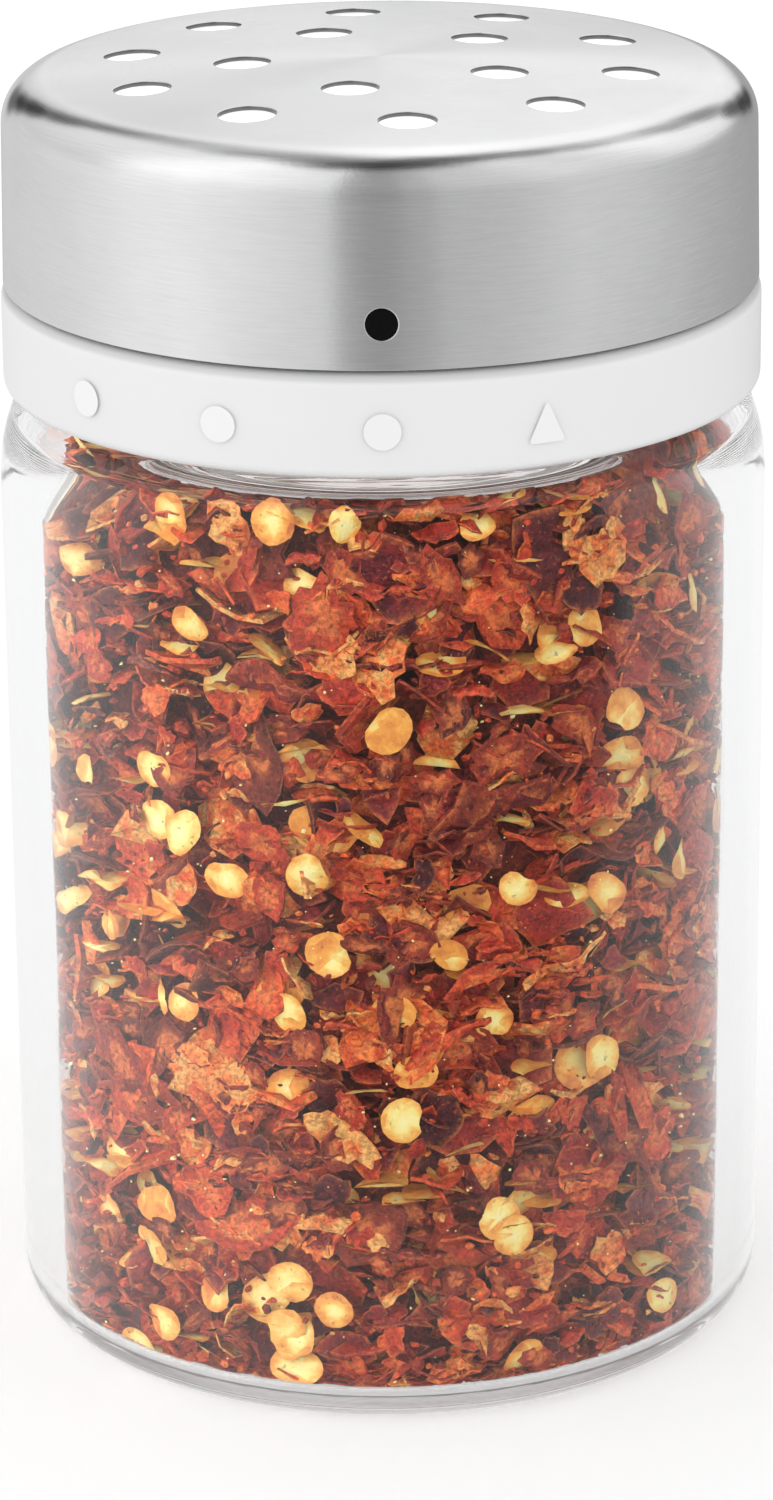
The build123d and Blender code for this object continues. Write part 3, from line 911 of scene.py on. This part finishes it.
def chilli_flesh():
    """Dried chilli: dark red skins, brick red to orange flesh, fibres and paler torn edges."""
    material, nodes, shader = new_material("dried_chilli")
    tint, shift, skin, edge = (nodes.attribute(name) for name in ("tint", "shift", "skin", "edge"))
    away = nodes.add("ShaderNodeCombineXYZ", {"X": shift, "Y": tint, "Z": shift}).outputs[0]
    own_place = nodes.vector("ADD", nodes.place(), away)
    cloud = nodes.noise(own_place, 700, 3, 0.6)
    fibre = nodes.noise(own_place, 2600, 3, 0.65, 0.6)
    colour = nodes.ramp(
        nodes.math("ADD", tint, nodes.span(cloud, 0.3, 0.7, -0.16, 0.16)),
        [
            (0.0, (0.09, 0.011, 0.016)),
            (0.2, (0.19, 0.015, 0.018)),
            (0.44, (0.37, 0.026, 0.018)),
            (0.66, (0.60, 0.047, 0.021)),
            (0.82, (0.84, 0.115, 0.03)),
            (0.93, (0.95, 0.27, 0.06)),
            (1.0, (0.97, 0.5, 0.15)),
        ],
    )
    flesh = nodes.blend(0.18, colour, (0.85, 0.15, 0.03, 1))
    colour = nodes.blend(skin, flesh, colour)
    torn = nodes.product(nodes.math("POWER", edge, 5.0), 0.55)
    colour = nodes.blend(torn, colour, (0.95, 0.27, 0.07, 1))
    flecks = nodes.noise(own_place, 3800, 2, 0.6)
    colour = nodes.blend(nodes.span(flecks, 0.62, 0.72, 0, 0.4), colour, (0.95, 0.36, 0.12, 1))
    height = nodes.math("ADD", fibre, nodes.product(cloud, 1.5))
    colour = nodes.times(colour, nodes.span(fibre, 0.32, 0.62, 0.4, 1.12))
    nodes.feed(shader, {"Base Color": colour, "Roughness": nodes.span(skin, 0, 1, 0.62, 0.38)})
    nodes.feed(shader, {"Specular IOR Level": 0.3, "Normal": nodes.bump(height, 0.00022, 0.8)})
    return material


def chilli_seed_coat():
    """Pale yellow seeds with orange stains towards the rim."""
    material, nodes, shader = new_material("chilli_seed")
    place = nodes.place()
    cloud = nodes.noise(place, 900, 3, 0.6)
    grain = nodes.noise(place, 5000, 2)
    mottle = nodes.span(cloud, 0.3, 0.7, -0.15, 0.2)
    stain = nodes.math("MULTIPLY_ADD", nodes.attribute("tint"), 0.22, mottle)
    colour = nodes.ramp(
        nodes.math("MULTIPLY_ADD", nodes.attribute("edge"), 0.55, stain),
        [
            (0.0, (0.97, 0.88, 0.43)),
            (0.36, (0.95, 0.76, 0.24)),
            (0.62, (0.92, 0.4, 0.065)),
            (0.95, (0.62, 0.12, 0.03)),
        ],
    )
    spots = nodes.span(nodes.noise(place, 2300, 2), 0.66, 0.74, 1.0, 0.55, smooth=True)
    height = nodes.math("ADD", grain, nodes.product(cloud, 3))
    rough = nodes.span(grain, 0.3, 0.7, 0.36, 0.5)
    relief = nodes.bump(height, 0.00005)
    nodes.feed(shader, {"Base Color": nodes.times(colour, spots), "Roughness": rough, "Normal": relief})
    return material


def make_core(material):
    """A mass that stands for the flakes deeper in the jar and closes the gaps between those at the glass; its
    dark tint is partly the flakes' own red and partly painted shade of the gaps.
    """
    shape = bmesh.new()
    size = {"radius1": core_radius, "radius2": core_radius, "depth": core_high - core_low}
    middle = Matrix.Translation((0, 0, (core_low + core_high) / 2))
    bmesh.ops.create_cone(shape, cap_ends=True, segments=96, **size, matrix=middle)
    for vert in shape.verts:
        if vert.co.z > jar_radius:
            vert.co.z -= pile_drop(math.atan2(vert.co.y, vert.co.x))
    walls = [edge for edge in shape.edges if abs(edge.verts[0].co.z - edge.verts[1].co.z) > 0.01]
    bmesh.ops.subdivide_edges(shape, edges=walls, cuts=60, use_grid_fill=True)
    for vert in shape.verts:
        if core_low + weld < vert.co.z < core_high - weld:
            swell = 1 + 0.035 * noise.noise(vert.co * 500)
            vert.co.x *= swell
            vert.co.y *= swell
    mesh = mesh_of("flake_core", shape)
    # Tint 0.12, the darkest red, partly the flakes' own colour and partly painted shade deep between them
    store(mesh, *(np.full(len(mesh.vertices), value, np.float32) for value in (0.12, 0.5, 0, 0)))
    piece("flake_core", mesh, "jar", material, ["chilli_flakes"])


def make_chilli_flakes():
    """Seeds at the glass, flakes round and behind them, crumbs between, and layers at both ends."""
    flesh = chilli_flesh()
    seed_coat = chilli_seed_coat()
    torn = [torn_flake(chance.uniform(0.45, 0.95), 18) for _ in range(30)]
    scraps = [torn_flake(chance.uniform(0.45, 0.9)) for _ in range(20)]
    strips = [torn_flake(chance.uniform(0.12, 0.3)) for _ in range(14)]
    crumbs = [crumb() for _ in range(10)]
    seeds = [chilli_seed() for _ in range(12)]
    make_core(flesh)
    glass_seeds = wall_places(285, (0.0001, 0.0004), 0.003, 0.56, spread=0.13)
    for half in range(2):
        outer = wall_places(1250, (0.0001, 0.0008), 0.0038, 0.62, glass_seeds)
        scattered(f"flakes_at_glass_{half}", torn, outer, flesh)
    middle = wall_places(2000, (0.001, 0.0019), 0.0044, 0.5, glass_seeds, room=0.24)
    scattered("flakes_behind", scraps, middle, flesh)
    scattered("flakes_deeper", scraps, wall_places(1200, (0.0019, 0.0034), 0.0048, 0.5), flesh)
    levels = level_places(450, base_thickness + 0.0003, base_thickness + 0.0012, 0.0042)
    levels += level_places(650, base_thickness + 0.0002, base_thickness + 0.0011, 0.0034, 0.8)
    levels += level_places(700, ceiling_height - 0.0022, ceiling_height - 0.0004, 0.0042)
    scattered("flakes_top_and_bottom", scraps, levels, flesh)
    strip_places = wall_places(1150, (0.0002, 0.0018), 0.0048, 0.5, glass_seeds, room=0.36)
    scattered("flake_strips", strips, strip_places, flesh)
    seed_places = glass_seeds + wall_places(240, (0.0009, 0.002), 0.0032, 0.6, spread=0.12)
    seed_places += level_places(60, ceiling_height - 0.0012, ceiling_height - 0.0005, 0.0033)
    scattered("seeds", seeds, seed_places, seed_coat)
    crumb_places = wall_places(3800, (0.00008, 0.0012), 0.0006, 0.5, glass_seeds, room=0.46)
    scattered("crumbs", crumbs, crumb_places, flesh)
    # Tiny pale crumbs of seed, which also stand in for glints on the flakes: partly painted glints
    scattered("pale_specks_and_glints", crumbs, wall_places(1300, (0.00004, 0.0005), 0.00017, 0.5), seed_coat)


def make_hidden_pieces():
    """Plate, liner, seals and dot: smooth copies of their CAD nodes."""
    # The sifter plate gets a strong painted glow, 0.55, so it looks whiter
    plate = white_plastic("plate_plastic", (0.92,) * 3, 0.4, 0.55)
    liner = white_plastic("liner_plastic", (0.86,) * 3, 0.45)
    seal = soft_seal()
    merged_copy("sifter_plate", "collar", plate)
    merged_copy("cap_liner", "cap", liner)
    merged_copy("face_seal", "collar", seal)
    merged_copy("jar_gasket", "gasket", seal)
    merged_copy("indicator_dot", "cap", black_plastic())


# Stage, light and camera


def make_floor():
    """A pale floor that runs out of the view on every side.

    It is dimmer for rays that were mirrored far ahead, scattered before, or passed through the glass.
    """
    material, nodes, shader = new_material("pale_floor")
    grain = nodes.noise(nodes.place(), 40, 3)
    tones = nodes.ramp(grain, [(0.3, (0.68,) * 3), (0.7, (0.7,) * 3)])
    path = nodes.add("ShaderNodeLightPath")
    ahead = nodes.split(nodes.place())["Y"]
    scattered_light = nodes.math("GREATER_THAN", path.outputs["Diffuse Depth"], 0.5)
    mirrored = nodes.math("GREATER_THAN", path.outputs["Glossy Depth"], 0.5)
    mirrored = nodes.math("SUBTRACT", mirrored, scattered_light, clamp=True)
    far_ahead = nodes.product(mirrored, nodes.span(ahead, -0.045, -0.08))
    through_glass = nodes.math("SUBTRACT", path.outputs["Is Transmission Ray"], scattered_light, clamp=True)
    dim = nodes.span(far_ahead, 0, 1, 1, 0.15)
    dim = nodes.product(dim, nodes.span(scattered_light, 0, 1, 1, 0.74))
    dim = nodes.product(dim, nodes.span(through_glass, 0, 1, 1, 0.92))
    nodes.feed(shader, {"Base Color": nodes.times(tones, dim), "Roughness": 0.9, "Specular IOR Level": 0})
    nodes.feed(shader, {"Emission Color": nodes.grey(dim), "Emission Strength": 0.4})
    shape = bmesh.new()
    bmesh.ops.create_grid(shape, x_segments=8, y_segments=8, size=3.0)
    floor = bpy.data.objects.new("floor", mesh_of("floor", shape))
    floor.data.materials.append(material)
    bpy.context.scene.collection.objects.link(floor)
    floor.visible_glossy = False


def shades_round(nodes, turn, sides):
    """Brightness by direction round the jar, from a table of degrees and values."""
    return nodes.ramp(turn, [((degrees + 180) / 360, (value,) * 3) for degrees, value in sides])


def near(nodes, way, centre, inner, outer):
    """1 within an angle of a direction, falling to 0 at a wider one, in degrees."""
    aim = Vector(centre).normalized()
    nearness = nodes.vector("DOT_PRODUCT", way, aim[:], result="Value")
    return nodes.span(nearness, math.cos(math.radians(outer)), math.cos(math.radians(inner)), smooth=True)


# Brightness of what steel and glass mirror, by degrees to the right of the front
steel_sides = [
    (-180, 0.6), (-162, 0.72), (-123, 0.86), (-101, 0.98), (-80, 1.13), (-61, 1.15), (-40, 1.0),
    (-20.7, 0.87), (-15.5, 0.84), (-12, 0.49), (-7, 0.42), (-5, 0.36), (5, 0.36), (7, 0.45),
    (15, 0.49), (18.5, 0.59), (40, 0.65), (61, 0.81), (84, 0.74), (111, 0.57), (136, 0.49),
    (154, 0.43), (180, 0.38),
]
glass_sides = [
    (-180, 0.95), (-150, 0.92), (-120, 0.9), (-95, 0.95), (-60, 0.95), (-40, 0.8), (-22, 0.5),
    (-10, 0.16), (15, 0.1), (50, 0.16), (80, 0.35), (110, 0.6), (150, 0.95), (180, 0.95),
]

# Dark gap over and behind the jar that steel mirrors: directions, darkness, reach in degrees
dark_arch = [
    ((-0.37, 0.93, 0.06), 0.8, 9),
    ((-0.42, 0.89, 0.19), 0.95, 10),
    ((-0.44, 0.84, 0.33), 0.98, 12),
    ((-0.41, 0.77, 0.49), 0.86, 13),
    ((-0.33, 0.74, 0.58), 0.8, 13),
    ((-0.30, 0.66, 0.68), 0.55, 13),
    ((-0.25, 0.50, 0.82), 0.4, 14),
    ((-0.20, 0.30, 0.92), 0.6, 15),
    ((-0.10, 0.10, 0.98), 0.75, 16),
    ((0.0, -0.13, 0.99), 0.97, 22),
    ((0.16, 0.08, 0.98), 0.9, 17),
    ((0.31, 0.18, 0.93), 0.8, 15),
    ((0.43, 0.29, 0.86), 0.62, 14),
    ((0.50, 0.43, 0.75), 0.45, 13),
    ((0.53, 0.58, 0.63), 0.62, 13),
    ((0.50, 0.72, 0.48), 0.72, 13),
    ((0.55, 0.80, 0.25), 0.9, 11),
    ((0.49, 0.86, 0.14), 0.95, 10),
    ((0.42, 0.91, 0.05), 0.9, 8),
]


def steel_surroundings(nodes, way, x, y, z, turn):
    """What brushed steel sees: bright cards at the sides, a dark strip in front, a dark gap overhead."""
    sides = shades_round(nodes, turn, steel_sides)
    low = nodes.span(z, -0.36, -0.46, smooth=True)
    sides = nodes.blend(nodes.product(low, 0.6), sides, (0.7, 0.7, 0.72, 1))
    lifted = nodes.span(z, 0.1, 0.5, 1.0, 1.22, smooth=True)
    sides = nodes.times(sides, lifted)
    behind = nodes.span(y, -0.2, 0.3, smooth=True)
    behind = nodes.product(behind, nodes.span(z, 0.06, 0.2, smooth=True))
    back = nodes.span(z, 0.15, 0.75, 1.04, 1.42)
    back = nodes.product(back, nodes.span(x, -0.3, 0.3, 0.87, 1.13, smooth=True))
    back = nodes.product(back, nodes.span(nodes.math("ABSOLUTE", x), 0.05, 0.22, 1.0, 0.86))
    shade = nodes.blend(behind, sides, nodes.grey(back))
    nearest = 0.0
    for place, dark, reach in dark_arch:
        spot = near(nodes, way, place, 2, reach)
        nearest = nodes.math("MAXIMUM", nodes.product(spot, dark), nearest)
    return nodes.blend(nearest, shade, (0.02, 0.02, 0.02, 1))


def make_surroundings():
    """Soft studio light; steel, glass, plastic and the flakes each have their own surroundings."""
    world = bpy.data.worlds.new("studio")
    bpy.context.scene.world = world
    world.use_nodes = True
    world.cycles.sampling_method = "NONE"
    nodes = Nodes(world.node_tree)
    world.node_tree.nodes.clear()
    way = nodes.add("ShaderNodeTexCoord").outputs["Generated"]
    x, y, z = nodes.split(way)
    azimuth = nodes.math("ARCTAN2", x, nodes.product(y, -1.0))
    turn = nodes.span(azimuth, -math.pi, math.pi)
    in_steel = steel_surroundings(nodes, way, x, y, z, turn)
    in_glass = shades_round(nodes, turn, glass_sides)
    stops = [(0.3, (0.8,) * 3), (0.6, (1.25,) * 3), (0.85, (0.85,) * 3), (1, (0.5,) * 3)]
    level = nodes.ramp(nodes.span(z, -1, 1), stops)
    upper_left = near(nodes, way, (-0.55, -0.35, 0.75), 0, 100)
    on_plastic = nodes.times(level, nodes.span(upper_left, 0, 1, 1.06, 1.2))
    left_key = nodes.product(near(nodes, way, (-0.95, -0.3, 0.3), 0, 88), 4.6)
    right_key = nodes.product(near(nodes, way, (0.95, -0.3, 0.3), 0, 80), 1.3)
    on_flakes = nodes.grey(nodes.math("ADD", nodes.math("ADD", left_key, right_key), 1.32))
    through_glass = (0.86, 0.86, 0.87, 1)
    path = nodes.add("ShaderNodeLightPath")
    scattered_light = nodes.math("GREATER_THAN", path.outputs["Diffuse Depth"], 0.5)
    passed = nodes.blend(scattered_light, through_glass, on_flakes)
    mirrored = nodes.blend(path.outputs["Is Singular Ray"], in_steel, in_glass)
    shade = nodes.blend(path.outputs["Is Glossy Ray"], on_plastic, mirrored)
    shade = nodes.blend(path.outputs["Is Transmission Ray"], shade, passed)
    shade = nodes.blend(path.outputs["Is Camera Ray"], shade, (1, 1, 1, 1))
    background = nodes.add("ShaderNodeBackground", {"Color": shade, "Strength": 1.0})
    nodes.add("ShaderNodeOutputWorld", {"Surface": background.outputs[0]})


def make_camera():
    """A camera at the photograph's place, 0.4 m off and looking 18.7 degrees down."""
    camera = bpy.data.objects.new("camera", bpy.data.cameras.new("camera"))
    bpy.context.scene.collection.objects.link(camera)
    right = Vector((1, 0, 0))
    up = Vector((0, math.sin(camera_pitch), math.cos(camera_pitch)))
    turned_right = right * math.cos(camera_roll) + up * math.sin(camera_roll)
    turned_up = up * math.cos(camera_roll) - right * math.sin(camera_roll)
    turn = Matrix((turned_right, turned_up, turned_right.cross(turned_up))).transposed()
    camera.matrix_world = Matrix.Translation(camera_place) @ turn.to_4x4()
    camera.data.sensor_width = sensor_width
    camera.data.lens = sensor_width * focal_length / photo_height
    camera.data.shift_x = (photo_middle[0] - optical_axis[0]) / photo_height
    camera.data.shift_y = (optical_axis[1] - photo_middle[1]) / photo_height
    camera.data.clip_start = 0.01
    bpy.context.scene.camera = camera


def let_light_run():
    """Let light go on through the thick glass of base and shoulder, where it bounces many times."""
    paths = bpy.context.scene.cycles
    paths.max_bounces = 120
    paths.glossy_bounces = 100
    paths.transmission_bounces = 100
    paths.diffuse_bounces = 4


make_glass()
make_collar()
make_steel_cap()
make_chilli_flakes()
make_hidden_pieces()
make_floor()
make_surroundings()
make_camera()
let_light_run()
bpy.context.scene.view_settings.view_transform = "Standard"
